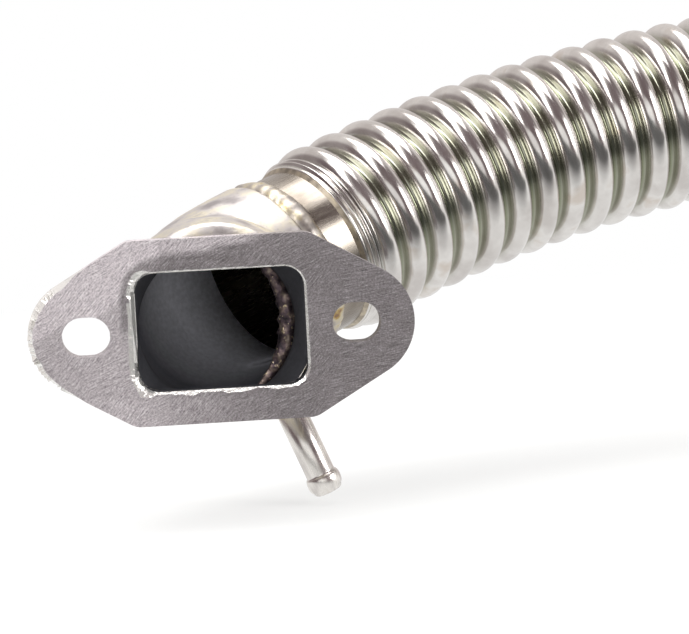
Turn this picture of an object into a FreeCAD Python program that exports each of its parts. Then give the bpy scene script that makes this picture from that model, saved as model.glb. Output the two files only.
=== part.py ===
import FreeCAD, Part
import math
import os

V = FreeCAD.Vector

# Flexible exhaust header for a small two-stroke engine, in millimetres.
# The origin is the middle of the flange's mating face. +Z is up, the mating face looks
# along -Y, and the two stud slots lie along X.

# Flange plate
stud_spacing = 38.0
plate_thickness = 3.0
plate_half_height = 13.1
plate_flat_half_width = 12.7
plate_lobe_radius = 8.2
plate_corner_radius = 3.0
slot_width = 5.6
slot_length = 6.8

# Port opening in the plate, with a filed lead-in bevel on the mating face
port_width = 23.8
port_height = 16.8
port_corner_radius = 2.8
port_bevel_width = 0.9
port_bevel_depth = 0.8

# Tube sizes
tube_diameter = 25.4
tube_wall = 1.0
tube_bore = tube_diameter - 2 * tube_wall

# Cast elbow welded to the back of the plate
elbow_inlet_diameter = 28.0
elbow_knee_diameter = 29.8
elbow_sleeve_diameter = 27.3
elbow_throat = 22.3
throat_depth = 4.6
elbow_inlet_length = 8.1
elbow_offset_x = -0.5
elbow_offset_z = 0.6
elbow_bend_radius = 14.0
elbow_turn_deg = 41.9
elbow_rise_deg = 44.6
elbow_bend_steps = 6
sleeve_length = 8.3
sleeve_lip_radius = 0.9
socket_depth = 3.2

# Straight tube between the elbow and the hose, set a little flatter than the elbow's bend
link_length = 7.7
link_turn_deg = 60.2
link_rise_deg = 21.9

# Corrugated hose
crest_diameter = 29.0
valley_diameter = 24.4
crest_count = 22
crest_pitch = 5.33
crest_top_half_width = 0.7
crest_shoulder_half_width = 1.55
crest_shoulder_drop = 0.85
hose_wall = 0.8
cuff_wall = 0.6
cuff_length = 2.6
end_ridge_count = 2
end_ridge_pitch = 1.0
end_ridge_height = 0.55
end_ridge_half_width = 0.42
end_ridge_from_end = 1.1
first_crest_from_end = 4.65

# Outlet spigot
outlet_length = 32.0
outlet_insert_diameter = 24.5
outlet_shoulder = 0.7

# Pressure nipple
nipple_diameter = 4.4
nipple_bore = 2.8
nipple_bead_diameter = 5.3
nipple_bead_length = 2.2
nipple_depth_from_face = 18.0
nipple_offset_x = 3.8
nipple_sink = 2.4
nipple_reach = 29.6
nipple_lean_deg = 22.2

# How far a cutting body runs past the face it opens
cut_clearance = 0.5

# Welds and braze
plate_weld_leg = 1.2
seam_weld_width = 3.0
seam_weld_height = 0.5
cuff_braze_leg = 0.5
nipple_braze_leg = 1.6
nipple_braze_toe = 0.3
nipple_braze_depth = 2.2
root_weld_thickness = 3.6
root_weld_length = 2.2


def unit(vector):
    return vector * (1.0 / vector.Length)


# Header route: straight in from the plate, one bend, a straight link, then the hose's bow
def toward(rise_deg):
    """Direction in the plate's plane, raised from +X."""
    rise = math.radians(rise_deg)
    return V(math.cos(rise), 0, math.sin(rise))


def along_bend(angle):
    """Point on the elbow's centreline after turning by an angle."""
    return (bend_start + inward * (elbow_bend_radius * math.sin(angle))
            + sideways * (elbow_bend_radius * (1 - math.cos(angle))))


inward = V(0, 1, 0)
sideways = toward(elbow_rise_deg)
elbow_foot = V(elbow_offset_x, plate_thickness, elbow_offset_z)
throat_centre = V(elbow_offset_x, plate_thickness + throat_depth, 0)
bend_start = elbow_foot + inward * elbow_inlet_length
bend_end = along_bend(math.radians(elbow_turn_deg))
bend_end_direction = (inward * math.cos(math.radians(elbow_turn_deg))
                      + sideways * math.sin(math.radians(elbow_turn_deg)))
link_turn = math.radians(link_turn_deg)
link_direction = inward * math.cos(link_turn) + toward(link_rise_deg) * math.sin(link_turn)
sleeve_end = bend_end + link_direction * sleeve_length
link_start = sleeve_end - link_direction * socket_depth
hose_start = sleeve_end + link_direction * link_length

# The hose bows in one plane until it runs exactly along +X
outlet_direction = V(1, 0, 0)
hose_length = 2 * first_crest_from_end + (crest_count - 1) * crest_pitch
bow_turn = link_direction.getAngle(outlet_direction)
bow_radius = hose_length / bow_turn
bow_axis = unit(link_direction.cross(outlet_direction))
bow_centre = hose_start + bow_axis.cross(link_direction) * bow_radius


def hose_point(distance):
    """Point and direction on the hose's centreline, at a distance from its inlet end."""
    spin = FreeCAD.Rotation(bow_axis, math.degrees(distance / bow_radius))
    point = bow_centre + spin.multVec(hose_start - bow_centre)
    return point, spin.multVec(link_direction)


hose_end = hose_point(hose_length)[0]


def rod(diameter, start, direction, length):
    return Part.makeCylinder(diameter / 2, length, start, direction)


def skin(sections):
    """Solid stretched over round sections, each a (diameter, centre, direction)."""
    rings = []
    for diameter, centre, direction in sections:
        circle = Part.Circle(centre, direction, diameter / 2)
        circle.XAxis = unit(V(0, 0, 1) - direction * direction.z)
        rings.append(Part.Wire(circle.toShape()))
    return Part.makeLoft(rings, True, True)


def turned(outline, start, direction):
    """Solid of revolution of a closed (along, radius) outline about the line from start."""
    side = unit(direction.cross(V(0, 0, 1)))
    spots = [start + direction * along + side * radius for along, radius in outline]
    return Part.Face(Part.makePolygon(spots + spots[:1])).revolve(start, direction, 360)


def port_wire(width, height, corner, y):
    """Rounded rectangle in a plane of constant y, made of eight edges."""
    half_w = width / 2
    half_h = height / 2
    diagonal = corner * (1 - math.sqrt(0.5))
    corners = [(1, 1), (-1, 1), (-1, -1), (1, -1)]
    edges = []
    previous = V(half_w, y, -(half_h - corner))
    for index, (sx, sz) in enumerate(corners):
        on_side = V(sx * half_w, y, sz * (half_h - corner))
        on_end = V(sx * (half_w - corner), y, sz * half_h)
        middle = V(sx * (half_w - diagonal), y, sz * (half_h - diagonal))
        first, last = (on_side, on_end) if index % 2 == 0 else (on_end, on_side)
        edges.append(Part.makeLine(previous, first))
        edges.append(Part.Arc(first, middle, last).toShape())
        previous = last
    return Part.Wire(edges)


def round_wire(diameter, centre, split_deg):
    """Circle in a plane of constant y, cut into the same eight stretches as the port."""
    marks = [-split_deg, split_deg, 90 - split_deg, 90 + split_deg, 180 - split_deg,
             180 + split_deg, 270 - split_deg, 270 + split_deg, 360 - split_deg]

    def spot(angle_deg):
        angle = math.radians(angle_deg)
        return centre + V(math.cos(angle), 0, math.sin(angle)) * (diameter / 2)

    edges = []
    for begin, finish in zip(marks, marks[1:]):
        edges.append(Part.Arc(spot(begin), spot((begin + finish) / 2), spot(finish)).toShape())
    return Part.Wire(edges)


def plate_outline():
    """Hexagon whose slanted sides run tangent into a round lobe about each slot."""
    lobe_x = stud_spacing / 2
    to_corner = V(plate_flat_half_width - lobe_x, 0, plate_half_height)
    lean = math.acos(plate_lobe_radius / to_corner.Length)
    corner_angle = math.atan2(to_corner.z, to_corner.x)
    touch_angle = corner_angle - lean
    touch = V(lobe_x + plate_lobe_radius * math.cos(touch_angle), 0,
              plate_lobe_radius * math.sin(touch_angle))
    tip = V(lobe_x + plate_lobe_radius, 0, 0)
    corner = V(plate_flat_half_width, 0, plate_half_height)

    def mirrored(point, sx, sz):
        return V(point.x * sx, 0, point.z * sz)

    edges = [Part.makeLine(mirrored(corner, -1, 1), corner), Part.makeLine(corner, touch),
             Part.Arc(touch, tip, mirrored(touch, 1, -1)).toShape(),
             Part.makeLine(mirrored(touch, 1, -1), mirrored(corner, 1, -1)),
             Part.makeLine(mirrored(corner, 1, -1), mirrored(corner, -1, -1)),
             Part.makeLine(mirrored(corner, -1, -1), mirrored(touch, -1, -1)),
             Part.Arc(mirrored(touch, -1, -1), mirrored(tip, -1, 1),
                      mirrored(touch, -1, 1)).toShape(),
             Part.makeLine(mirrored(touch, -1, 1), mirrored(corner, -1, 1))]
    return Part.Wire(edges)


def plate_blank():
    blank = Part.Face(plate_outline()).extrude(inward * plate_thickness)
    corner_edges = [edge for edge in blank.Edges
                    if abs(abs(edge.CenterOfMass.x) - plate_flat_half_width) < 1e-3
                    and abs(abs(edge.CenterOfMass.z) - plate_half_height) < 1e-3]
    return blank.makeFillet(plate_corner_radius, corner_edges)


def slot_cutter(centre_x):
    reach = (slot_length - slot_width) / 2
    start = V(0, -1, 0)
    depth = plate_thickness + 2
    ends = [rod(slot_width, V(centre_x + side * reach, 0, 0) + start, inward, depth)
            for side in (-1, 1)]
    middle = Part.makeBox(2 * reach, depth, slot_width,
                          V(centre_x - reach, -1, -slot_width / 2))
    return ends[0].fuse([ends[1], middle]).removeSplitter()


def flange_plate():
    port = Part.Face(port_wire(port_width, port_height, port_corner_radius, -1.0)).extrude(
        inward * (plate_thickness + 2))
    bevel = Part.makeLoft([
        port_wire(port_width + 2 * port_bevel_width, port_height + 2 * port_bevel_width,
                  port_corner_radius + port_bevel_width, 0),
        port_wire(port_width, port_height, port_corner_radius, port_bevel_depth)], True, True)
    plate = plate_blank().cut([port, bevel])
    return plate.cut([slot_cutter(-stud_spacing / 2), slot_cutter(stud_spacing / 2)])


def bend_sections(first_diameter, last_diameter):
    """Round sections along the elbow's bend; the last one is mitred toward the link."""
    sections = []
    for step in range(elbow_bend_steps):
        part = step / elbow_bend_steps
        angle = math.radians(elbow_turn_deg) * part
        direction = inward * math.cos(angle) + sideways * math.sin(angle)
        diameter = first_diameter + (last_diameter - first_diameter) * part
        sections.append((diameter, along_bend(angle), direction))
    mitre = unit(bend_end_direction + link_direction)
    return sections + [(last_diameter, bend_end, mitre)]


def elbow_bore():
    """Round gas way from the throat to the bottom of the tube's socket."""
    head = (tube_bore, throat_centre, inward)
    tail = (tube_bore, link_start + link_direction * cut_clearance, link_direction)
    return skin([head] + bend_sections(tube_bore, tube_bore) + [tail])


def elbow_blank():
    """Outside of the cast elbow: inlet, full knee, and a sleeve with a rounded lip."""
    sections = [(elbow_inlet_diameter, elbow_foot, inward)]
    sections += bend_sections(elbow_knee_diameter, elbow_sleeve_diameter)
    for lip_deg in (0, 45, 90):
        lip = math.radians(lip_deg)
        centre = sleeve_end - link_direction * (sleeve_lip_radius * (1 - math.sin(lip)))
        diameter = elbow_sleeve_diameter - 2 * sleeve_lip_radius * (1 - math.cos(lip))
        sections.append((diameter, centre, link_direction))
    return skin(sections)


def cast_elbow():
    """Cast elbow with a gas way from the port's shape to round, and a socket for the link."""
    split = math.degrees(math.atan2(port_height / 2 - port_corner_radius, port_width / 2))
    inlet = Part.makeLoft([
        port_wire(port_width, port_height, port_corner_radius, plate_thickness),
        round_wire(elbow_throat, throat_centre, split)], True, True)
    socket = rod(tube_diameter, link_start, link_direction, socket_depth + cut_clearance)
    start, direction = nipple_line()
    hole = rod(nipple_diameter, start, direction, elbow_knee_diameter)
    return elbow_blank().cut([inlet, elbow_bore(), socket, hole])


def link_tube():
    length = socket_depth + link_length + cuff_length
    outside = rod(tube_diameter, link_start, link_direction, length)
    return outside.cut(rod(tube_bore, link_start, link_direction, length))


def hose_section(distance, radius):
    return (2 * radius,) + hose_point(distance)


def cuff_profile():
    """Outline of the hose's belled cuff from its mouth to the first crest."""
    base = tube_diameter / 2 + cuff_wall
    outline = [(0, base)]
    for number in range(end_ridge_count):
        centre = end_ridge_from_end + number * end_ridge_pitch
        outline += [(centre - end_ridge_half_width, base), (centre, base + end_ridge_height),
                    (centre + end_ridge_half_width, base)]
    return outline + [(first_crest_from_end - crest_pitch / 2 + cuff_wall, base)]


def hose_outside():
    """Outside of the hose: a cuff at each end and round corrugations between."""
    top = crest_diameter / 2
    shoulder = top - crest_shoulder_drop
    outline = cuff_profile()
    for number in range(crest_count):
        centre = first_crest_from_end + number * crest_pitch
        if number > 0:
            outline.append((centre - crest_pitch / 2, valley_diameter / 2))
        outline += [(centre - crest_shoulder_half_width, shoulder),
                    (centre - crest_top_half_width, top), (centre + crest_top_half_width, top),
                    (centre + crest_shoulder_half_width, shoulder)]
    outline += [(hose_length - along, radius) for along, radius in reversed(cuff_profile())]
    return skin([hose_section(along, radius) for along, radius in outline])


def hose_inside():
    """Inside of the hose, which follows the corrugations one wall below them."""
    low = valley_diameter / 2 - hose_wall
    high = crest_diameter / 2 - hose_wall
    outline = [(cuff_length / 2, low)]
    for number in range(crest_count):
        centre = first_crest_from_end + number * crest_pitch
        outline += [(max(centre - crest_pitch / 2, cuff_length), low),
                    (centre - crest_top_half_width, high), (centre + crest_top_half_width, high)]
    outline += [(hose_length - cuff_length, low), (hose_length - cuff_length / 2, low)]
    return skin([hose_section(along, radius) for along, radius in outline])


def corrugated_hose():
    """Hose with round corrugations, bowed from the link's direction to straight along +X."""
    length = cuff_length + cut_clearance
    sockets = [rod(tube_diameter, hose_start - link_direction * cut_clearance,
                   link_direction, length),
               rod(outlet_insert_diameter, hose_end + outlet_direction * cut_clearance,
                   outlet_direction * -1, length)]
    return hose_outside().cut([hose_inside()] + sockets)


def outlet_tube():
    """Plain tube with a slightly reduced end that fits the hose's cuff."""
    outer = tube_diameter / 2
    insert = outlet_insert_diameter / 2
    inner = tube_bore / 2
    outline = [(-cuff_length, inner), (-cuff_length, insert), (outlet_shoulder, insert),
               (outlet_shoulder, outer), (outlet_length, outer), (outlet_length, inner)]
    return turned(outline, hose_end, outlet_direction)


def nipple_line():
    """Start inside the elbow and direction of the nipple."""
    start = V(nipple_offset_x, nipple_depth_from_face, elbow_offset_z)
    lean = math.radians(nipple_lean_deg)
    return start, V(math.sin(lean), 0, -math.cos(lean))


def pressure_nipple():
    """Small tube with a rolled bead near its open end."""
    start, direction = nipple_line()
    foot = elbow_knee_diameter / 2 - nipple_sink
    radius = nipple_diameter / 2
    bore = nipple_bore / 2
    bead = nipple_bead_diameter / 2
    slope = nipple_bead_length / 4
    bead_end = nipple_reach - slope
    bead_start = bead_end - nipple_bead_length
    outline = [(foot, bore), (foot, radius), (bead_start, radius), (bead_start + slope, bead),
               (bead_end - slope, bead), (bead_end, radius), (nipple_reach, radius),
               (nipple_reach, bore)]
    return turned(outline, start, direction)


def nipple_braze():
    """Cone of braze where the nipple leaves the elbow."""
    start, direction = nipple_line()
    top = elbow_knee_diameter / 2 - nipple_braze_depth
    radius = nipple_diameter / 2
    skirt = Part.makeCone(radius + nipple_braze_leg, radius + nipple_braze_toe,
                          nipple_braze_leg + nipple_braze_depth, start + direction * top, direction)
    core = rod(nipple_diameter, start, direction, nipple_reach)
    return skirt.cut([elbow_blank(), core])


def plate_weld():
    """Fillet weld behind the plate, left and right of the elbow's inlet."""
    radius = elbow_inlet_diameter / 2
    skirt = Part.makeCone(radius + plate_weld_leg, radius, plate_weld_leg, elbow_foot, inward)
    backing = plate_blank().translated(inward * plate_thickness)
    return skirt.common(backing).cut(elbow_blank())


def seam_weld():
    """Low bead around the link tube where it leaves the cast elbow."""
    radius = tube_diameter / 2
    crown = radius + seam_weld_height
    rounding = seam_weld_width / 3
    outline = [(0, radius), (0, crown), (seam_weld_width - rounding, crown),
               (seam_weld_width, radius)]
    return turned(outline, sleeve_end, link_direction)


def cuff_braze(start, direction, diameter):
    """Ring of braze that fills the step from a tube up to the hose's cuff."""
    radius = diameter / 2
    outline = [(0, radius), (0, radius + cuff_braze_leg), (cuff_braze_leg, radius)]
    return turned(outline, start, direction)


def root_weld():
    """Crescent of weld against the gas way's wall just behind the throat."""
    slab = rod(elbow_knee_diameter, throat_centre, inward, root_weld_length)
    clear_way = rod(elbow_throat, throat_centre - V(root_weld_thickness, 0, 0), inward,
                    root_weld_length)
    return elbow_bore().common(slab).cut(clear_way)


os.makedirs("parts", exist_ok=True)
parts = {
    "flange_plate": flange_plate(),
    "cast_elbow": cast_elbow(),
    "link_tube": link_tube(),
    "corrugated_hose": corrugated_hose(),
    "outlet_tube": outlet_tube(),
    "pressure_nipple": pressure_nipple(),
    "plate_weld": plate_weld(),
    "seam_weld": seam_weld(),
    "inlet_braze": cuff_braze(hose_start, link_direction * -1, tube_diameter),
    "outlet_braze": cuff_braze(hose_end, outlet_direction, outlet_insert_diameter),
    "nipple_braze": nipple_braze(),
    "root_weld": root_weld(),
}
for name, shape in parts.items():
    shape.exportStep(f"parts/{name}.step")
    print(name, shape.isValid(), len(shape.Solids), round(shape.Volume, 1))
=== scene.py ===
import math
import random

import bmesh
import bpy
from mathutils import Matrix, Quaternion, Vector, noise


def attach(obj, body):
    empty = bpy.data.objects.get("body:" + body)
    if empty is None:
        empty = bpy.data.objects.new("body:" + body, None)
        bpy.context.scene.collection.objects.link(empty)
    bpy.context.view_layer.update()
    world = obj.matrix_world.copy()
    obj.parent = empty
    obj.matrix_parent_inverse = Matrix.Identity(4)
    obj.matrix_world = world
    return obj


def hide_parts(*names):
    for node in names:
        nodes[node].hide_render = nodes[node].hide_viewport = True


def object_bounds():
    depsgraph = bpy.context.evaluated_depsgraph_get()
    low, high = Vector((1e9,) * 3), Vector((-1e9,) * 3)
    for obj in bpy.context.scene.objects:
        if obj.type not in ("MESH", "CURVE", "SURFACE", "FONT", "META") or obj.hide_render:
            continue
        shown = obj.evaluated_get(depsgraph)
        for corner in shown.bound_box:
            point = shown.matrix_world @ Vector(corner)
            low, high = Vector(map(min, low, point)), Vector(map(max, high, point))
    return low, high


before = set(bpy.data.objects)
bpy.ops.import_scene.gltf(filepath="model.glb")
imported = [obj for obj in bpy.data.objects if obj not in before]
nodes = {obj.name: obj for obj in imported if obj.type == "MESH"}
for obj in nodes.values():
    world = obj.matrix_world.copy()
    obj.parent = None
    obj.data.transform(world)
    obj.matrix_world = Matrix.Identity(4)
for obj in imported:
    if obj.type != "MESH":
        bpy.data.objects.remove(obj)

cad_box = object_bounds()
mm = 0.001

# Camera
# The photograph looks almost square at the flange, from a little to its left and above, and
# leans by 3 degrees. The view is 13.8 degrees wide from 400 mm away.
aim = Vector((17.3, 0, 0.78)) * mm
sight_yaw = math.radians(-4.11)
sight_pitch = math.radians(6.06)
sight_roll = math.radians(-2.92)
toward_camera = Vector((math.sin(sight_yaw) * math.cos(sight_pitch),
                        -math.cos(sight_yaw) * math.cos(sight_pitch), math.sin(sight_pitch)))
camera_data = bpy.data.cameras.new("camera")
camera_data.sensor_width = 36
camera_data.lens = 36 * 2845.8 / 689
camera_data.clip_start = 0.01
camera_data.clip_end = 20
camera = bpy.data.objects.new("camera", camera_data)
bpy.context.scene.collection.objects.link(camera)
across = (-toward_camera).cross(Vector((0, 0, 1))).normalized()
upward = across.cross(-toward_camera)
right = across * math.cos(sight_roll) + upward * math.sin(sight_roll)
upright = upward * math.cos(sight_roll) - across * math.sin(sight_roll)
camera.matrix_world = Matrix.Translation(aim + toward_camera * 0.4) @ Matrix((
    (right.x, upright.x, toward_camera.x),
    (right.y, upright.y, toward_camera.y),
    (right.z, upright.z, toward_camera.z))).to_4x4()
bpy.context.scene.camera = camera


# Studio
# A white cloth rises behind the header and ends over it. In front hang two soft windows with the
# darker room between them, and the room's right end is white. Camera rays see plain white.
def srgb(code):
    """Linear colour of an sRGB hex code."""
    channels = [int(code[i:i + 2], 16) / 255 for i in (1, 3, 5)]
    return tuple(c / 12.92 if c <= 0.04045 else ((c + 0.055) / 1.055) ** 2.4
                 for c in channels) + (1.0,)


def add(kind, inputs=None, out=0, stops=None, **settings):
    """Adds a node with its settings to the tree in hand and returns one of its outputs. An input
    is a value, a hex colour or another node's output; stops fill a colour ramp."""
    node = tree.nodes.new("ShaderNode" + kind)
    for name, value in settings.items():
        setattr(node, name, value)
    for socket, value in (inputs or {}).items():
        if isinstance(value, bpy.types.NodeSocket):
            tree.links.new(value, node.inputs[socket])
        else:
            node.inputs[socket].default_value = srgb(value) if isinstance(value, str) else value
    for index, (place, colour) in enumerate(stops or []):
        bar = node.color_ramp.elements
        element = bar[index] if index < len(bar) else bar.new(place)
        element.position = place
        element.color = srgb(colour) if isinstance(colour, str) else (colour,) * 3 + (1,)
    return node.outputs[out] if node.outputs else node


# Each window's middle and half size, as turn about X from the back and spread toward +X in
# radians, and its brightness
windows = (((1.85, -0.48), (0.36, 0.30), 1.05), ((1.50, -0.20), (0.34, 0.26), 0.98),
           ((2.95, -0.28), (0.26, 0.50), 1.15))
world = bpy.data.worlds.new("tent")
bpy.context.scene.world = world
world.use_nodes = True
tree = world.node_tree
tree.nodes.clear()
direction = add("TexCoord")
part_x, part_y, part_z = (add("SeparateXYZ", {0: direction}, out=i) for i in range(3))
turn = add("Math", {0: part_z, 1: part_y}, operation="ARCTAN2")
spread = add("Math", {0: part_x}, operation="ARCSINE")
place = add("CombineXYZ", {0: turn, 1: spread})
cloth = add("MapRange", {"Value": turn, "From Min": 1.15, "From Max": 1.65, "To Min": 0.67,
                         "To Max": 0.15})
cloth = add("Math", {0: cloth, 1: add("MapRange", {
    "Value": part_x, "From Min": 0.74, "From Max": 0.86, "To Min": 0.0, "To Max": 1.0})},
    operation="MAXIMUM")
cloth = add("Math", {0: cloth, 1: add("MapRange", {
    "Value": spread, "From Min": -0.95, "From Max": -0.70, "To Min": 0.45, "To Max": 1.0})},
    operation="MULTIPLY")
for middle, size, bright in windows:
    stretch = add("VectorMath", {0: place, 1: (1 / size[0], 1 / size[1], 0)}, operation="MULTIPLY")
    gap = add("VectorMath", {0: stretch, 1: (middle[0] / size[0], middle[1] / size[1], 0)}, out=1,
              operation="DISTANCE")
    window = add("MapRange", {"Value": gap, "From Min": 0.85, "From Max": 1.25, "To Min": bright,
                              "To Max": 0.0})
    cloth = add("Math", {0: cloth, 1: window}, operation="MAXIMUM")
warm = add("ValToRGB", {0: add("Math", {0: cloth, 1: 0.8}, operation="MULTIPLY")}, stops=[
    (0.0, "#6b5d60"), (0.12, "#746769"), (0.57, "#dfdad8"), (0.92, "#ffffff")])
mirror_room = add("Background", {"Color": warm, "Strength": 1.1})
soft_room = add("Background", {"Color": (1, 1, 1, 1), "Strength": 0.8})
seen = add("Background", {"Color": (1, 1, 1, 1), "Strength": 1.0})
lit = add("MixShader", {0: add("LightPath", out="Is Glossy Ray"), 1: soft_room, 2: mirror_room})
add("OutputWorld", {"Surface": add("MixShader", {
    0: add("LightPath", out="Is Camera Ray"), 1: lit, 2: seen})})


header_middle = Vector((40, 20, 5)) * mm


def lamp(name, place, width, height, power):
    """White soft box aimed at the middle of the header, in millimetres and watts."""
    data = bpy.data.lights.new(name, "AREA")
    data.shape = "RECTANGLE"
    data.size = width * mm
    data.size_y = height * mm
    data.energy = power
    box = bpy.data.objects.new(name, data)
    bpy.context.scene.collection.objects.link(box)
    box.location = Vector(place) * mm
    box.rotation_euler = (header_middle - box.location).to_track_quat("-Z", "Y").to_euler()


lamp("overhead_box", (60, 120, 700), 520, 520, 3.0)
lamp("left_window", (-420, -330, 420), 200, 300, 1.0)
lamp("left_window_upper", (-300, -160, 560), 180, 260, 0.8)
lamp("right_fill", (520, -260, 260), 300, 300, 1.6)

# The table lies 1 mm below the header. It is white to the camera and darker in mirror images of
# its front half, and its shadow fades out away from the header.
table_drop = 1.0
reach = 3.0
table_mesh = bpy.data.meshes.new("table")
low = cad_box[0].z - table_drop * mm
table_mesh.from_pydata([(-reach, -reach, low), (reach, -reach, low), (reach, reach, low),
                        (-reach, reach, low)], [], [(0, 1, 2, 3)])
table = bpy.data.objects.new("table", table_mesh)
bpy.context.scene.collection.objects.link(table)
white_table = bpy.data.materials.new("white_table")
white_table.use_nodes = True
tree = white_table.node_tree
tree.nodes.clear()
board = add("BsdfPrincipled", {"Base Color": "#f4f4f2", "Roughness": 0.6})
glow = add("Emission", {"Color": (1, 1, 1, 1), "Strength": 1.0})
spot = add("TexCoord", out="Object")
away = add("VectorMath", {0: spot, 1: (0.05, 0.03, low)}, out=1, operation="DISTANCE")
fade = add("MapRange", {"Value": away, "From Min": 0.10, "From Max": 0.32, "To Min": 0.62,
                        "To Max": 1.0})
near_or_far = add("MapRange", {"Value": add("SeparateXYZ", {0: spot}, out=1), "From Min": -0.06,
                               "From Max": 0.01, "To Min": 0.13, "To Max": 0.90})
mirrored = add("Emission", {"Color": near_or_far, "Strength": 1.0})
lit = add("MixShader", {0: add("Math", {0: add("LightPath", out="Is Camera Ray"), 1: fade},
                               operation="MULTIPLY"), 1: board, 2: glow})
add("OutputMaterial", {"Surface": add("MixShader", {
    0: add("LightPath", out="Is Glossy Ray"), 1: lit, 2: mirrored})})
table_mesh.materials.append(white_table)


def new_metal(name, metallic=1.0):
    """Empty material with a metal shader; returns it with its tree and shader."""
    material = bpy.data.materials.new(name)
    material.use_nodes = True
    material.node_tree.nodes.clear()
    shader = material.node_tree.nodes.new("ShaderNodeBsdfPrincipled")
    shader.inputs["Metallic"].default_value = metallic
    surface = material.node_tree.nodes.new("ShaderNodeOutputMaterial")
    material.node_tree.links.new(shader.outputs[0], surface.inputs["Surface"])
    return material, material.node_tree, shader


# Flange plate
# Steel plate 3 mm thick, linished by hand on its mating face and scratched in many directions.
# The port's edge is filed bright, wide at the left and ragged elsewhere, and a wide edge runs
# round the left lobe. Soot covers the port's wall. Light and shade are painted into the face's
# colour: lighter at the left and along the top, darker close round the port.
port_half_width = 11.9
port_half_height = 8.4
port_corner = 2.8
lobe_middle = Vector((-18.5, 0, -1.1))
lobe_radius = 8.2
lobe_edge_width = 0.85
mesh_cell = 0.5
# Turn in degrees, length and width in millimetres of each set of scratches
scratch_sets = ((-24, 1.9, 0.15), (-48, 1.5, 0.16), (12, 2.4, 0.18), (-9, 2.2, 0.13))
plate_steel, tree, shader = new_metal("linished_steel", 0.6)
coords = add("TexCoord", out="Object")
marks = []
for turn_deg, length, width in scratch_sets:
    placed = add("Mapping", {"Vector": coords, "Rotation": (0, math.radians(turn_deg), 0),
                             "Scale": (length * mm, mm, width * mm)}, vector_type="TEXTURE")
    marks.append(add("TexNoise", {"Vector": placed, "Scale": 1.0, "Detail": 4.0,
                                  "Roughness": 0.65}))
patch = add("TexNoise", {"Vector": coords, "Scale": 130.0, "Detail": 3.0})
pepper = add("TexNoise", {"Vector": coords, "Scale": 3800.0, "Detail": 3.0, "Roughness": 0.7})
grain = add("Mix", {0: add("ValToRGB", {0: patch}, stops=[(0.44, 0.0), (0.54, 1.0)]),
                    2: marks[0], 3: marks[1]}, data_type="FLOAT")
grain = add("Mix", {0: add("Attribute", out="Fac", attribute_name="brushed_flat"), 2: grain,
                    3: marks[3]}, data_type="FLOAT")
grain = add("Mix", {0: 0.42, 2: grain, 3: pepper}, data_type="FLOAT")
painted_light = add("Attribute", out="Fac", attribute_name="painted_light")
# Painted light: this share picks the lit copy of the face's colours over the shaded copy
tone = add("Mix", {0: painted_light,
                   6: add("ValToRGB", {0: grain}, stops=[(0.34, "#4a4548"), (0.46, "#7b7576"),
                                                         (0.54, "#918b8d"), (0.67, "#c9c4c5")]),
                   7: add("ValToRGB", {0: grain}, stops=[(0.35, "#776d74"), (0.46, "#c3babe"),
                                                         (0.54, "#ebe2e5"), (0.62, "#fffcfc")])},
           out=2, data_type="RGBA")
tone = add("Mix", {0: add("ValToRGB", {0: marks[2]}, stops=[(0.66, 0.0), (0.71, 0.5)]), 6: tone,
                   7: "#f2eeee"}, out=2, data_type="RGBA")
tree.links.new(tone, shader.inputs["Base Color"])
tree.links.new(add("MapRange", {"Value": grain, "From Min": 0.3, "From Max": 0.8, "To Min": 0.50,
                                "To Max": 0.34}), shader.inputs["Roughness"])
tree.links.new(add("Bump", {"Height": grain, "Distance": 0.03 * mm}, out="Normal"),
               shader.inputs["Normal"])

filed_steel, tree, shader = new_metal("filed_steel_edge", 0.75)
shader.inputs["Base Color"].default_value = srgb("#f4f2ee")
shader.inputs["Roughness"].default_value = 0.24
file_marks = add("TexNoise", {"Vector": add("TexCoord", out="Object"), "Scale": 1800.0,
                              "Detail": 2.0})
tree.links.new(add("Bump", {"Height": file_marks, "Distance": 0.06 * mm}, out="Normal"),
               shader.inputs["Normal"])

soot_and_painted_haze, tree, shader = new_metal("sooted_steel_painted_haze", 0.1)
coords = add("TexCoord", out="Object")
crust = add("TexNoise", {"Vector": coords, "Scale": 1600.0, "Detail": 4.0})
# Painted light: the colour lightens from 4 mm to 29 mm inward, painted haze over the soot of the deep
# bore
depth = add("MapRange", {"Value": add("SeparateXYZ", {0: coords}, out=1), "From Min": 4 * mm,
                         "From Max": 29 * mm})
tone = add("ValToRGB", {0: depth}, stops=[(0.0, "#39393e"), (0.16, "#39393e"), (0.24, "#414146"),
                                          (0.50, "#6d6d74"), (1.0, "#ececf4")])
tone = add("Mix", {0: 0.8, 6: tone, 7: add("ValToRGB", {0: crust}, stops=[
    (0.35, 0.72), (0.75, 1.0)])}, out=2, data_type="RGBA", blend_type="MULTIPLY")
tree.links.new(tone, shader.inputs["Base Color"])
shader.inputs["Roughness"].default_value = 0.75
tree.links.new(add("Bump", {"Height": crust, "Distance": 0.03 * mm}, out="Normal"),
               shader.inputs["Normal"])


def smooth_step(value, low_end, high_end):
    share = min(1.0, max(0.0, (value - low_end) / (high_end - low_end)))
    return share * share * (3 - 2 * share)


def port_gap(x, z):
    """Distance outside the port's oblong, in the plate's plane."""
    dx = abs(x) - (port_half_width - port_corner)
    dz = abs(z) - (port_half_height - port_corner)
    return math.hypot(max(dx, 0), max(dz, 0)) + min(max(dx, dz), 0) - port_corner


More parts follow.
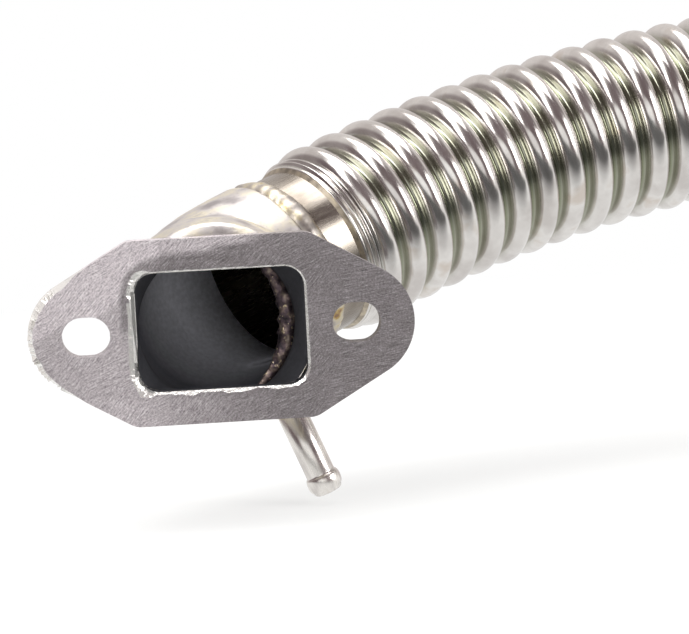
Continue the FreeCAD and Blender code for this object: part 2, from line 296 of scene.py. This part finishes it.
# The mating face is cut into small cells, and the edges of the port and the left lobe are moved
# on it as the file left them.
plate_mesh = nodes["flange_plate"].data.copy()
plate_mesh.transform(nodes["flange_plate"].matrix_world)
plate_mesh.transform(Matrix.Scale(1000, 4))
shape = bmesh.new()
shape.from_mesh(plate_mesh)
bmesh.ops.remove_doubles(shape, verts=shape.verts, dist=0.002)
for axis, ends in (((1, 0, 0), (-28, 28)), ((0, 0, 1), (-14, 14))):
    cuts = int((ends[1] - ends[0]) / mesh_cell)
    for step in range(1, cuts):
        at = ends[0] + (ends[1] - ends[0]) * step / cuts + 0.013
        bmesh.ops.bisect_plane(shape, geom=shape.verts[:] + shape.edges[:] + shape.faces[:],
                               plane_co=Vector(axis) * at, plane_no=axis, dist=0.001)
for vertex in shape.verts:
    x, y, z = vertex.co
    gap = port_gap(x, z)
    if gap < 0.1 and 0.7 < y < 0.9:
        vertex.co.y += 0.75 * smooth_step(-x, 9.5, 11.5)
    if y < 0.02 and 0.6 < gap < 2.6:
        out_way = Vector((port_gap(x + 0.01, z) - gap, 0, port_gap(x, z + 0.01) - gap)).normalized()
        left = smooth_step(-x, 9.5, 11.5)
        ragged = 0.5 * noise.noise(Vector((x, 0, z)) / 0.9) + 0.7 * noise.noise(Vector((x, 5, z)) / 3)
        ragged *= 0.22 + 0.30 * smooth_step(-z, 5, 8)
        fade = 1 - smooth_step(gap, 0.95, 2.6)
        vertex.co += out_way * fade * (-0.60 + left * (0.85 + 0.15 * smooth_step(-z, -4, 4)) + ragged)
    lobe = Vector((x, 0, z)) - lobe_middle
    if y < 0.02 and lobe.length > lobe_radius - 2 and x < -18:
        uneven = 1 + 0.4 * noise.noise(Vector((x, 9, z)) / 2)
        vertex.co -= (lobe.normalized() * lobe_edge_width * smooth_step(-x, 19, 24)
                      * smooth_step(lobe.length, lobe_radius - 2, lobe_radius) * uneven)
shape.to_mesh(plate_mesh)
shape.free()
plate_mesh.materials.clear()
for material in (plate_steel, filed_steel, soot_and_painted_haze):
    plate_mesh.materials.append(material)
for face in plate_mesh.polygons:
    middle = face.center
    gap = port_gap(middle.x, middle.z)
    face.use_smooth = abs(face.normal.y) < 0.2
    face.material_index = 0
    if gap < 1.4 and middle.y > 0.82 and abs(face.normal.y) < 0.1:
        face.material_index = 2
    elif middle.y > 0.02 and gap < 1.6 and 0.1 < abs(face.normal.y) < 0.98:
        face.material_index = 1
    elif middle.x < -19 and middle.y > 0.05 and math.hypot(
            middle.x - lobe_middle.x, middle.z - lobe_middle.z) > 7:
        face.material_index = 1
# Painted light and shade on the face: lighter over most of the left half, the upper left corner
# and a strip along the top, as if lit from the left and above, and painted shade in a band close
# round the port
painted_light_marks = plate_mesh.attributes.new("painted_light", "FLOAT", "POINT")
flat_marks = plate_mesh.attributes.new("brushed_flat", "FLOAT", "POINT")
for vertex in plate_mesh.vertices:
    x, y, z = vertex.co
    cloud = noise.noise(Vector((x, 3, z)) / 6) + 0.5 * noise.noise(Vector((x, 7, z)) / 2)
    share = 1 - smooth_step(x + 5 * cloud, -15, 3)
    share = 0.62 * share + 0.15 * smooth_step(-z, 8, 10) * (1 - smooth_step(x, 0, 12))
    top_light = smooth_step(z - 0.02 * (x + 4) ** 2 * (x > 0) + 0.8 * cloud, 10.4, 11.4)
    top_light *= 1 - smooth_step(x, 1, 10)
    share = max(share, 0.80 * top_light)
    corner = smooth_step(z - 0.45 * x + 1.2 * cloud, 9.5, 12.0) * (x < -8)
    share = max(share, corner)
    # Painted shade in a band close round the upper side of the port
    band = (1 - smooth_step(port_gap(x, z) + 0.5 * cloud, 1.9, 2.5)) * smooth_step(z - 0.3 * x, 2, 6)
    share *= 1 - 0.85 * band
    painted_light_marks.data[vertex.index].value = max(0.0, min(1.0, share + 0.10 * cloud))
    flat_marks.data[vertex.index].value = smooth_step(x + 4 * cloud, 12, 18)
plate_mesh.transform(Matrix.Scale(mm, 4))
plate = bpy.data.objects.new("plate_with_filed_port", plate_mesh)
bpy.context.scene.collection.objects.link(plate)
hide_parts("flange_plate")
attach(plate, "root")


# Header route
# The elbow's inlet stands square on the plate, its knee turns up and to the right, and the
# link leads into the hose, which bows until it runs level with the flange's slots.
def toward(rise_deg):
    rise = math.radians(rise_deg)
    return Vector((math.cos(rise), 0, math.sin(rise)))


inward = Vector((0, 1, 0))
elbow_foot = Vector((-0.5, 3.0, 0.6))
elbow_straight = 8.1
sleeve_length = 8.3
link_length = 7.7
knee_radius = 14.0
knee_turn = math.radians(41.9)
knee_side = toward(44.6)
link_turn = math.radians(60.2)
link_way = inward * math.cos(link_turn) + toward(21.9) * math.sin(link_turn)


def on_knee(angle):
    return (elbow_foot + inward * (elbow_straight + knee_radius * math.sin(angle))
            + knee_side * (knee_radius * (1 - math.cos(angle))))


knee_end = on_knee(knee_turn)
sleeve_end = knee_end + link_way * sleeve_length
hose_start = sleeve_end + link_way * link_length
hose_crests = 22
hose_pitch = 5.33
first_crest = 4.65
hose_length = 2 * first_crest + (hose_crests - 1) * hose_pitch
bow_turn = link_way.angle(Vector((1, 0, 0)))
bow_radius = hose_length / bow_turn
bow_axis = link_way.cross(Vector((1, 0, 0))).normalized()
bow_centre = hose_start + bow_axis.cross(link_way) * bow_radius


def on_hose(distance):
    """Point and direction on the hose's centreline, in millimetres from its mouth."""
    spin = Quaternion(bow_axis, distance / bow_radius)
    return bow_centre + spin @ (hose_start - bow_centre), spin @ link_way


def ring_frame(way):
    """Two directions square to the way; the second is the one nearest to up."""
    up = (Vector((0, 0, 1)) - way * way.z).normalized()
    return up.cross(way).normalized(), up


def build(name, rings, material, closed_ends=False, joined=False):
    """Mesh through rings of equal point counts, in millimetres, shaded smooth."""
    mesh = bpy.data.meshes.new(name)
    count = len(rings[0])
    points = [Vector(p) * mm for ring in rings for p in ring]
    faces = []
    last = len(rings) if joined else len(rings) - 1
    for row in range(last):
        first = row * count
        second = ((row + 1) % len(rings)) * count
        for i in range(count):
            j = (i + 1) % count
            faces.append((first + i, first + j, second + j, second + i))
    if closed_ends:
        faces.append(tuple(reversed(range(count))))
        faces.append(tuple(range((len(rings) - 1) * count, len(rings) * count)))
    mesh.from_pydata(points, [], faces)
    mesh.materials.append(material)
    shape = bmesh.new()
    shape.from_mesh(mesh)
    bmesh.ops.recalc_face_normals(shape, faces=shape.faces)
    shape.to_mesh(mesh)
    shape.free()
    for face in mesh.polygons:
        face.use_smooth = True
    piece = bpy.data.objects.new(name, mesh)
    bpy.context.scene.collection.objects.link(piece)
    return piece


# Corrugated hose
# Polished stainless strip, rolled into round rings of 5.3 mm pitch. Mirror bright on the
# crests; the grooves are coloured darker and greenish as painted shade with a painted reflection.
hose_steel, tree, shader = new_metal("polished_stainless")
coords = add("TexCoord", out="Object")
smear = add("TexNoise", {"Vector": coords, "Scale": 170.0, "Detail": 3.0})
tone = add("ValToRGB", {0: smear}, stops=[(0.34, "#cfcac6"), (0.58, "#e6e3df"), (0.72, "#d6cdc4")])
# Painted shade: grooves, the mouth's ridge edges and the inside take a darker greenish colour, painted
# shade with a greenish painted reflection
tone = add("Mix", {0: add("Attribute", out="Fac", attribute_name="groove"), 6: tone,
                   7: "#868a73"}, out=2, data_type="RGBA")
tree.links.new(tone, shader.inputs["Base Color"])
placed = add("Mapping", {"Vector": coords, "Rotation": (0, -0.21, 0.26),
                         "Scale": (0.3 * mm, 4 * mm, 4 * mm)}, vector_type="TEXTURE")
drawn = add("TexNoise", {"Vector": placed, "Scale": 1.0, "Detail": 3.0})
tree.links.new(add("MapRange", {"Value": drawn, "From Min": 0.3, "From Max": 0.7, "To Min": 0.16,
                                "To Max": 0.22}), shader.inputs["Roughness"])

crest_top = 14.5
crest_height = 2.3
crest_round = 1.9
groove_round = 0.77
flank = math.radians(75)
mouth_radius = 13.3
ridge_places = (1.1, 2.1)
ridge_height = 0.55
ridge_half_width = 0.46
cuff_depth = 2.6
cuff_bore = 12.75
hose_bore = 11.6
around = 144
# Share of a pitch from the crest's middle, and radius, of the inside of one crest
inner_crest = ((0.42, 11.9), (0.26, 13.2), (0.0, 13.9), (-0.26, 13.2), (-0.42, 11.9))


def crest_outline(centre, first, last):
    """(along, radius, groove) points over one crest and the grooves beside it."""
    arc = crest_top - crest_round
    points = []
    for step in range(-6, 7):
        angle = flank * step / 6
        points.append((centre + crest_round * math.sin(angle),
                       arc + crest_round * math.cos(angle), max(0.0, abs(step) / 6 - 0.72)))
    bottom = crest_top - crest_height
    half = hose_pitch / 2
    dip = []
    for step in range(0, 4):
        angle = flank * (1 - step / 3)
        dip.append((half - groove_round * math.sin(angle),
                    bottom + groove_round * (1 - math.cos(angle)), 0.55 + 0.15 * step))
    if not first:
        points = [(centre - a, r, g) for a, r, g in reversed(dip)][1:] + points
    if not last:
        points += [(centre + a, r, g) for a, r, g in dip]
    return points


def mouth_outline():
    """Cuff at the hose's end: rolled edge and two fine ridges."""
    points = [(0.0, mouth_radius - 0.55, 0.3), (0.05, mouth_radius - 0.25, 0.2),
              (0.25, mouth_radius - 0.05, 0.0), (0.5, mouth_radius, 0.1)]
    for ridge in ridge_places:
        for step in range(-4, 5):
            share = step / 4
            rise = ridge_height * math.cos(share * math.pi / 2) ** 1.5
            points.append((ridge + ridge_half_width * share, mouth_radius - 0.1 + rise,
                           0.5 if abs(step) == 4 else 0.0))
    points.append((2.72, mouth_radius - 0.1, 0.5))
    return points


outline = mouth_outline()
for number in range(hose_crests):
    outline += crest_outline(first_crest + number * hose_pitch, number == 0, number == hose_crests - 1)
outline += [(hose_length - a, r, g) for a, r, g in reversed(mouth_outline())]
# Each crest is out of round by a few hundredths of a millimetre
random.seed(7)
rings = []
marks = []
crest_shift = [(random.uniform(-0.05, 0.05), random.uniform(-0.04, 0.04)) for _ in range(24)]
for along, radius, groove in outline:
    centre, way = on_hose(along)
    side, up = ring_frame(way)
    index = min(23, max(0, round((along - first_crest) / hose_pitch) + 1))
    wobble = crest_shift[index][1] * (1 - groove) if 3.0 < along < hose_length - 3.0 else 0.0
    ring = []
    for i in range(around):
        angle = 2 * math.pi * i / around
        swing = radius + wobble * math.cos(angle * 2 + index)
        ring.append(centre + (side * math.cos(angle) + up * math.sin(angle)) * swing)
    rings.append(ring)
    marks.append(groove)
inner = [(hose_length, cuff_bore), (hose_length - cuff_depth, cuff_bore),
         (hose_length - cuff_depth - 0.05, hose_bore)]
for number in reversed(range(hose_crests)):
    centre = first_crest + number * hose_pitch
    for share, radius in inner_crest:
        if cuff_depth + 0.1 < centre + share * hose_pitch < hose_length - cuff_depth - 0.1:
            inner.append((centre + share * hose_pitch, radius))
inner += [(cuff_depth + 0.05, hose_bore), (cuff_depth, cuff_bore), (0.0, cuff_bore)]
for along, radius in inner:
    centre, way = on_hose(along)
    side, up = ring_frame(way)
    rings.append([centre + (side * math.cos(2 * math.pi * i / around)
                            + up * math.sin(2 * math.pi * i / around)) * radius
                  for i in range(around)])
    marks.append(0.8)
hose = build("hose_rings", rings, hose_steel, joined=True)
groove_shade_marks = hose.data.attributes.new("groove", "FLOAT", "POINT")
groove_shade_marks.data.foreach_set("value", [g for g in marks for _ in range(around)])
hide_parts("corrugated_hose")
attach(hose, "root")


# Cast elbow
# Cast steel, tumbled to a soft silvery skin with yellowish heat bloom toward the weld. The
# gas way starts as the port's rounded oblong, narrows to a round throat and is black with soot,
# with painted haze lightening it deeper in.
cast_skin, tree, shader = new_metal("tumbled_cast_steel")
coords = add("TexCoord", out="Object")
patch = add("TexNoise", {"Vector": coords, "Scale": 210.0, "Detail": 4.0})
speck = add("TexNoise", {"Vector": coords, "Scale": 1900.0, "Detail": 2.0})
tone = add("ValToRGB", {0: patch}, stops=[(0.34, "#aaa4a4"), (0.46, "#d0cbc8"), (0.58, "#e0d9c6"),
                                          (0.70, "#bbb5b2")])
tone = add("Mix", {0: add("ValToRGB", {0: speck}, stops=[(0.60, 0.0), (0.75, 0.35)]), 6: tone,
                   7: "#989190"}, out=2, data_type="RGBA")
tree.links.new(tone, shader.inputs["Base Color"])
tree.links.new(add("MapRange", {"Value": patch, "From Min": 0.3, "From Max": 0.7, "To Min": 0.38,
                                "To Max": 0.50}), shader.inputs["Roughness"])
tree.links.new(add("Bump", {"Height": speck, "Distance": 0.03 * mm}, out="Normal"),
               shader.inputs["Normal"])


elbow_count = 128
foot_radius = 14.0
knee_radius_outside = 14.9
sleeve_radius = 13.65
sleeve_lip = 0.9
socket_radius = 12.72
socket_depth = 3.2
elbow_bore = 11.7
throat_radius = 11.2
throat = Vector((-0.5, 7.6, 0))


def circle(centre, way, radius, count=elbow_count):
    side, up = ring_frame(way)
    return [centre + (side * math.cos(2 * math.pi * i / count)
                      + up * math.sin(2 * math.pi * i / count)) * radius for i in range(count)]


def port_ring(y, half_width, half_height, corner, count=elbow_count):
    """Rounded oblong seen along the same directions as a circle's points."""
    side, up = ring_frame(inward)
    points = []
    for i in range(count):
        angle = 2 * math.pi * i / count
        c, s = math.cos(angle), math.sin(angle)
        far = 30.0
        near = 0.0
        for _ in range(24):
            middle = (far + near) / 2
            px, pz = abs(c * middle), abs(s * middle)
            dx, dz = px - (half_width - corner), pz - (half_height - corner)
            gap = (math.hypot(max(dx, 0), max(dz, 0)) + min(max(dx, dz), 0)) - corner
            if gap > 0:
                far = middle
            else:
                near = middle
        points.append(Vector((0, y, 0)) + (side * c + up * s) * near)
    return points


spine = []
for step in range(9):
    share = step / 8
    spine.append((elbow_foot + inward * elbow_straight * share,
                  foot_radius + (knee_radius_outside - foot_radius) * share))
for step in range(1, 13):
    share = step / 12
    spine.append((on_knee(knee_turn * share),
                  knee_radius_outside + (sleeve_radius - knee_radius_outside) * share))
for step in range(1, 9):
    share = step / 8
    spine.append((knee_end + link_way * ((sleeve_length - sleeve_lip) * share), sleeve_radius))
for _ in range(14):
    spine = [spine[0]] + [((a[0] + b[0] * 2 + c[0]) / 4, (a[1] + b[1] * 2 + c[1]) / 4)
                          for a, b, c in zip(spine, spine[1:], spine[2:])] + [spine[-1]]
ways = [inward] + [(b[0] - a[0]).normalized() for a, b in zip(spine, spine[2:])] + [link_way]
rings = [circle(centre, way, radius) for (centre, radius), way in zip(spine, ways)]
for row, (depth, cut) in enumerate(((0.0, 1.0), (0.3, 0.55), (0.7, 0.2))):
    foot = circle(elbow_foot + inward * depth, inward, 1.0)
    foot = [elbow_foot + inward * depth + (p - elbow_foot - inward * depth)
            * (13.95 - 1.6 * cut * abs(p.z - elbow_foot.z) ** 6) for p in foot]
    rings[row:row + (row == 0)] = [foot]
for lip_deg in (18, 36, 54, 72, 90):
    lip = math.radians(lip_deg)
    rings.append(circle(sleeve_end - link_way * (sleeve_lip * (1 - math.sin(lip))), link_way,
                        sleeve_radius - sleeve_lip * (1 - math.cos(lip))))
outside_rows = len(rings)
rings.append(circle(sleeve_end, link_way, socket_radius))
rings.append(circle(sleeve_end - link_way * socket_depth, link_way, socket_radius))
rings.append(circle(sleeve_end - link_way * socket_depth, link_way, elbow_bore))
rings.append(circle(knee_end, (link_way + ways[-14]).normalized(), elbow_bore))
for step in reversed(range(8)):
    angle = knee_turn * step / 8
    rings.append(circle(on_knee(angle), inward * math.cos(angle) + knee_side * math.sin(angle),
                        elbow_bore))
rings.append(circle(throat, inward, elbow_bore))
rings.append(circle(throat, inward, throat_radius + 0.1))
rings.append(circle(throat - inward * 0.15, inward, throat_radius - 0.05))
port_mouth = port_ring(elbow_foot.y, port_half_width, port_half_height, port_corner)
throat_ring = circle(throat - inward * 0.3, inward, throat_radius)
for step in range(1, 9):
    share = step / 8
    rings.append([a.lerp(b, share) for a, b in zip(throat_ring, port_mouth)])
elbow = build("elbow_casting", rings, cast_skin, joined=True)
elbow.data.materials.append(soot_and_painted_haze)
elbow.data.materials.append(filed_steel)
throat_row = len(rings) - 11
for face in elbow.data.polygons:
    row = min(face.vertices) // elbow_count
    if row >= outside_rows and max(face.vertices) // elbow_count < len(rings):
        face.material_index = 1
    if row in (throat_row, throat_row + 1) and face.center.x < -8 * mm:
        face.material_index = 2
for vertex in elbow.data.vertices:
    if 4 * elbow_count < vertex.index < (outside_rows - 4) * elbow_count:
        lump = noise.noise(vertex.co / (6 * mm)) + 0.4 * noise.noise(vertex.co / (2.2 * mm))
        vertex.co += vertex.normal * lump * 0.16 * mm
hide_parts("cast_elbow")
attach(elbow, "root")


# Link and outlet tubes
# Drawn steel tube, 25.4 mm outside, buffed bright; beige where heat has tinted it.
tube_steel, tree, shader = new_metal("buffed_steel_tube")
coords = add("TexCoord", out="Object")
bloom = add("TexNoise", {"Vector": coords, "Scale": 120.0, "Detail": 3.0})
tree.links.new(add("ValToRGB", {0: bloom}, stops=[(0.36, "#837a70"), (0.50, "#9b9389"),
                                                  (0.66, "#aea79d")]), shader.inputs["Base Color"])
placed = add("Mapping", {"Vector": coords, "Rotation": (0, 1.2, 0.5),
                         "Scale": (0.5 * mm, 0.5 * mm, 4 * mm)}, vector_type="TEXTURE")
buffed = add("TexNoise", {"Vector": placed, "Scale": 1.0, "Detail": 3.0})
tree.links.new(add("MapRange", {"Value": buffed, "From Min": 0.3, "From Max": 0.7, "To Min": 0.20,
                                "To Max": 0.32}), shader.inputs["Roughness"])


def finish_node(name, material):
    """Gives a solid its material."""
    solid = nodes[name]
    solid.data.materials.clear()
    solid.data.materials.append(material)
    for face in solid.data.polygons:
        face.material_index = 0


finish_node("link_tube", tube_steel)
finish_node("outlet_tube", tube_steel)


# Seam weld
# Filler bead laid in one turn around the link where it leaves the casting. Its ripples lean
# the way the torch went, and heat left gold, brown and grey stains.
weld_steel, tree, shader = new_metal("heat_tinted_weld")
coords = add("TexCoord", out="Object")
stain = add("TexNoise", {"Vector": coords, "Scale": 400.0, "Detail": 4.0})
tree.links.new(add("ValToRGB", {0: stain}, stops=[
    (0.36, "#9c9691"), (0.48, "#beb6ac"), (0.58, "#cdc3a9"), (0.65, "#b59a66"), (0.71, "#8a6d55"),
    (0.80, "#aaa29a")]), shader.inputs["Base Color"])
shader.inputs["Roughness"].default_value = 0.40
pits = add("TexNoise", {"Vector": coords, "Scale": 2800.0, "Detail": 3.0})
tree.links.new(add("Bump", {"Height": pits, "Distance": 0.03 * mm}, out="Normal"),
               shader.inputs["Normal"])
bead_rows = 14
bead_count = 320
rings = []
side, up = ring_frame(link_way)
for row in range(bead_rows + 1):
    share = row / bead_rows
    ring = []
    for i in range(bead_count):
        angle = 2 * math.pi * i / bead_count
        ripple = 0.05 * math.sin(angle * 38 + 9 * share * (1 - share)
                                 + 2.5 * noise.noise(Vector((angle * 2, share, 4))))
        uneven = 0.35 * noise.noise(Vector((math.cos(angle) * 4, math.sin(angle) * 4, share)))
        along = -0.35 + 3.5 * share + 0.25 * math.sin(angle * 9) * (share - 0.5) + 0.3 * uneven
        crown = 12.62 + 0.85 * math.sin(math.pi * min(1, share * 1.05)) ** 0.6
        if share in (0.0, 1.0):
            crown = 12.6
        else:
            crown += ripple + 0.5 * uneven * math.sin(math.pi * share)
        ring.append(sleeve_end + link_way * along
                    + (side * math.cos(angle) + up * math.sin(angle)) * crown)
    rings.append(ring)
rings.append([sleeve_end + link_way * 1.5 + (p - sleeve_end
              - link_way * ((p - sleeve_end).dot(link_way))).normalized() * 12.3
              for p in rings[-1]])
seam = build("seam_bead", rings, weld_steel, joined=True)
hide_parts("seam_weld")
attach(seam, "root")
finish_node("plate_weld", weld_steel)


# Root weld
# Where the filler has come through behind the throat it stands as a lumpy crescent, burnt
# brown and violet, with small raised beads painted bright pale gold as highlights.
burnt_weld, tree, shader = new_metal("burnt_weld_bead", 0.8)
coords = add("TexCoord", out="Object")
char = add("TexNoise", {"Vector": coords, "Scale": 900.0, "Detail": 4.0})
glint = add("TexNoise", {"Vector": coords, "Scale": 1700.0, "Detail": 2.0})
tone = add("ValToRGB", {0: char}, stops=[(0.34, "#3a3439"), (0.50, "#6b5c60"), (0.62, "#8f7f76"),
                                         (0.75, "#b9a99c")])
# Painted highlight: the glint specks turn pale gold
tone = add("Mix", {0: add("ValToRGB", {0: glint}, stops=[(0.64, 0.0), (0.70, 1.0)]), 6: tone,
                   7: "#ecd9b4"}, out=2, data_type="RGBA")
tree.links.new(tone, shader.inputs["Base Color"])
shader.inputs["Roughness"].default_value = 0.35
tree.links.new(add("Bump", {"Height": glint, "Distance": 0.12 * mm}, out="Normal"),
               shader.inputs["Normal"])
root_rows = 72
root_half_span = 66
root_width = 1.35
rings = []
for row in range(root_rows + 1):
    share = row / root_rows
    angle = math.radians(root_half_span * (2 * share - 1))
    spoke = Vector((math.cos(angle), 0, math.sin(angle)))
    taper = max(0.04, math.sin(math.pi * share)) ** 0.55
    middle = throat + inward * 1.1 + spoke * (elbow_bore - 0.1 - 1.25 * taper)
    ring = []
    for i in range(28):
        turn = 2 * math.pi * i / 28
        offset = spoke * (root_width * taper * math.cos(turn)) + inward * (1.0 * taper * math.sin(turn))
        point = middle + offset
        lump = 1 + 0.30 * noise.noise(point / 1.3) + 0.15 * noise.noise(point / 0.5)
        ring.append(middle + offset * lump)
    rings.append(ring)
root = build("root_bead", rings, burnt_weld, closed_ends=True)
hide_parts("root_weld")
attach(root, "root")


# Brazed joints
# Thin rings of braze close the hose's cuffs and the foot of the nipple.
braze_metal, tree, shader = new_metal("dulled_braze")
dull = add("TexNoise", {"Vector": add("TexCoord", out="Object"), "Scale": 850.0, "Detail": 4.0})
tree.links.new(add("ValToRGB", {0: dull}, stops=[(0.35, "#948b7e"), (0.55, "#bdb2a0"),
                                                 (0.72, "#cfc3aa")]), shader.inputs["Base Color"])
shader.inputs["Roughness"].default_value = 0.38
for name in ("inlet_braze", "outlet_braze", "nipple_braze"):
    finish_node(name, braze_metal)


# Pressure nipple
# Bright drawn tube, 4.4 mm, with a rolled bead near its open end.
nipple_steel, tree, shader = new_metal("bright_drawn_steel")
placed = add("Mapping", {"Vector": add("TexCoord", out="Object"), "Rotation": (0, -0.387, 0),
                         "Scale": (1.4 * mm, 1.4 * mm, 5 * mm)}, vector_type="TEXTURE")
handled = add("TexNoise", {"Vector": placed, "Scale": 1.0, "Detail": 3.0})
tree.links.new(add("ValToRGB", {0: handled}, stops=[(0.35, "#d0cac6"), (0.60, "#f0ece6"),
                                                    (0.75, "#ddd6ce")]),
               shader.inputs["Base Color"])
tree.links.new(add("MapRange", {"Value": handled, "From Min": 0.3, "From Max": 0.7, "To Min": 0.20,
                                "To Max": 0.30}), shader.inputs["Roughness"])
nipple_radius = 2.2
nipple_bore = 1.4
nipple_bead = 0.42
nipple_foot = 12.5
nipple_reach = 29.6
nipple_lean = math.radians(22.2)
nipple_start = Vector((3.8, 18.0, 0.6))
nipple_way = Vector((math.sin(nipple_lean), 0, -math.cos(nipple_lean)))
across_nipple = nipple_way.cross(inward)
profile = [(nipple_foot, nipple_bore), (nipple_foot, nipple_radius), (26.4, nipple_radius)]
profile += [(26.6 + 1.15 * (1 - math.cos(a * math.pi / 8)) + 0.12,
             nipple_radius + nipple_bead * math.sin(a * math.pi / 8)) for a in range(9)]
profile += [(29.25, 2.18), (29.45, 2.08), (nipple_reach, 1.85), (nipple_reach, nipple_bore)]
rings = [[nipple_start + nipple_way * along + (across_nipple * math.cos(2 * math.pi * i / 64)
          + inward * math.sin(2 * math.pi * i / 64)) * radius for i in range(64)]
         for along, radius in profile]
nipple = build("nipple_tube", rings, nipple_steel, joined=True)
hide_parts("pressure_nipple")
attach(nipple, "root")

bpy.context.scene.view_settings.view_transform = "Standard"
